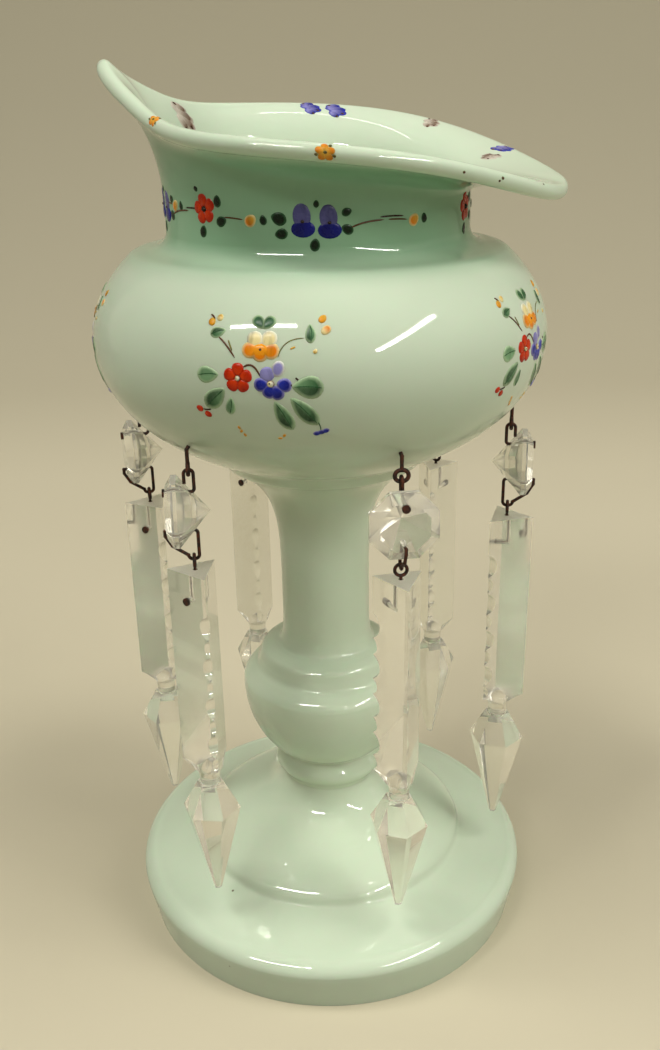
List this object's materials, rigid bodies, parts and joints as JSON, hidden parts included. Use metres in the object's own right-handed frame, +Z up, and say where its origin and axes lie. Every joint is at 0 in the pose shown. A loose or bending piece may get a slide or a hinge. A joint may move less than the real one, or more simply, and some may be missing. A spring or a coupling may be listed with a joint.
{
  "type": "mantel lustre",
  "caption": "Footed opaline glass vase with a flared leaf-shaped rim, hung below the bowl with octagon buttons and notched spear prisms on wire links.",
  "frame": {"origin": "centre of the ring that the foot stands on, in the plane of the table", "axes": "+Z up the stem, -Y towards the picture's camera, +X to the right, where the rim droops to its low tip"},
  "size_m": [0.1429, 0.139, 0.2844],
  "materials": {
    "opaline": "polished milky glass with painted flowers",
    "crystal": "cut and polished",
    "wire": "rust-browned iron wire"
  },
  "bodies": {
    "vase": {"bowl": "opaline", "stem": "opaline", "collar": "opaline", "foot": "opaline"},
    "hanger_1": {"hook_1": "wire"},
    "button_1": {"upper_pin_1": "wire", "octagon_1": "crystal", "lower_pin_1": "wire"},
    "drop_1": {"prism_wire_1": "wire", "prism_1": "crystal"},
    "hanger_2": {"hook_2": "wire"},
    "button_2": {"upper_pin_2": "wire", "octagon_2": "crystal", "lower_pin_2": "wire"},
    "drop_2": {"prism_wire_2": "wire", "prism_2": "crystal"},
    "hanger_3": {"hook_3": "wire"},
    "button_3": {"upper_pin_3": "wire", "octagon_3": "crystal", "lower_pin_3": "wire"},
    "drop_3": {"prism_wire_3": "wire", "prism_3": "crystal"},
    "hanger_4": {"hook_4": "wire"},
    "button_4": {"upper_pin_4": "wire", "octagon_4": "crystal", "lower_pin_4": "wire"},
    "drop_4": {"prism_wire_4": "wire", "prism_4": "crystal"},
    "hanger_5": {"hook_5": "wire"},
    "button_5": {"upper_pin_5": "wire", "octagon_5": "crystal", "lower_pin_5": "wire"},
    "drop_5": {"prism_wire_5": "wire", "prism_5": "crystal"},
    "hanger_6": {"hook_6": "wire"},
    "button_6": {"upper_pin_6": "wire", "octagon_6": "crystal", "lower_pin_6": "wire"},
    "drop_6": {"prism_wire_6": "wire", "prism_6": "crystal"}
  },
  "joints": [
    {"name": "hook_turn_1", "type": "hinge", "parent": "vase", "child": "hanger_1", "pos_m": [0.02119, -0.05577, 0.18384], "axis": [0.2546, -0.6703, -0.697], "range_deg": [-20, 20]},
    {"name": "button_swing_1", "type": "hinge", "parent": "hanger_1", "child": "button_1", "pos_m": [0.02119, -0.05577, 0.17674], "axis": [-0.9949, -0.1011, 0], "range_deg": [-8, 60]},
    {"name": "prism_swing_1", "type": "hinge", "parent": "button_1", "child": "drop_1", "pos_m": [0.02119, -0.05577, 0.15084], "axis": [0.1011, -0.9949, 0], "range_deg": [-20, 20]},
    {"name": "hook_turn_2", "type": "hinge", "parent": "vase", "child": "hanger_2", "pos_m": [0.05889, -0.00954, 0.18384], "axis": [0.7078, -0.1146, -0.697], "range_deg": [-20, 20]},
    {"name": "button_swing_2", "type": "hinge", "parent": "hanger_2", "child": "button_2", "pos_m": [0.05889, -0.00954, 0.17674], "axis": [-0.1599, -0.9871, 0], "range_deg": [-8, 60]},
    {"name": "prism_swing_2", "type": "hinge", "parent": "button_2", "child": "drop_2", "pos_m": [0.05889, -0.00954, 0.15084], "axis": [0.9871, -0.1599, 0], "range_deg": [-20, 20]},
    {"name": "hook_turn_3", "type": "hinge", "parent": "vase", "child": "hanger_3", "pos_m": [0.04159, 0.04277, 0.18384], "axis": [0.4999, 0.5141, -0.697], "range_deg": [-20, 20]},
    {"name": "button_swing_3", "type": "hinge", "parent": "hanger_3", "child": "button_3", "pos_m": [0.04159, 0.04277, 0.17674], "axis": [0.7169, -0.6972, 0], "range_deg": [-8, 60]},
    {"name": "prism_swing_3", "type": "hinge", "parent": "button_3", "child": "drop_3", "pos_m": [0.04159, 0.04277, 0.15084], "axis": [0.6972, 0.7169, 0], "range_deg": [-20, 20]},
    {"name": "hook_turn_4", "type": "hinge", "parent": "vase", "child": "hanger_4", "pos_m": [-0.02782, 0.05278, 0.18384], "axis": [-0.3344, 0.6343, -0.697], "range_deg": [-20, 20]},
    {"name": "button_swing_4", "type": "hinge", "parent": "hanger_4", "child": "button_4", "pos_m": [-0.02782, 0.05278, 0.17674], "axis": [0.8846, 0.4664, 0], "range_deg": [-8, 60]},
    {"name": "prism_swing_4", "type": "hinge", "parent": "button_4", "child": "drop_4", "pos_m": [-0.02782, 0.05278, 0.15084], "axis": [-0.4664, 0.8846, 0], "range_deg": [-20, 20]},
    {"name": "hook_turn_5", "type": "hinge", "parent": "vase", "child": "hanger_5", "pos_m": [-0.05889, 0.00954, 0.18384], "axis": [-0.7078, 0.1146, -0.697], "range_deg": [-20, 20]},
    {"name": "button_swing_5", "type": "hinge", "parent": "hanger_5", "child": "button_5", "pos_m": [-0.05889, 0.00954, 0.17674], "axis": [-0.2723, 0.9622, 0], "range_deg": [-8, 60]},
    {"name": "prism_swing_5", "type": "hinge", "parent": "button_5", "child": "drop_5", "pos_m": [-0.05889, 0.00954, 0.15084], "axis": [-0.9622, -0.2723, 0], "range_deg": [-20, 20]},
    {"name": "hook_turn_6", "type": "hinge", "parent": "vase", "child": "hanger_6", "pos_m": [-0.03771, -0.04623, 0.18384], "axis": [-0.4532, -0.5557, -0.697], "range_deg": [-20, 20]},
    {"name": "button_swing_6", "type": "hinge", "parent": "hanger_6", "child": "button_6", "pos_m": [-0.03771, -0.04623, 0.17674], "axis": [-0.1011, 0.9949, 0], "range_deg": [-8, 60]},
    {"name": "prism_swing_6", "type": "hinge", "parent": "button_6", "child": "drop_6", "pos_m": [-0.03771, -0.04623, 0.15084], "axis": [-0.9949, -0.1011, 0], "range_deg": [-20, 20]}
  ]
}
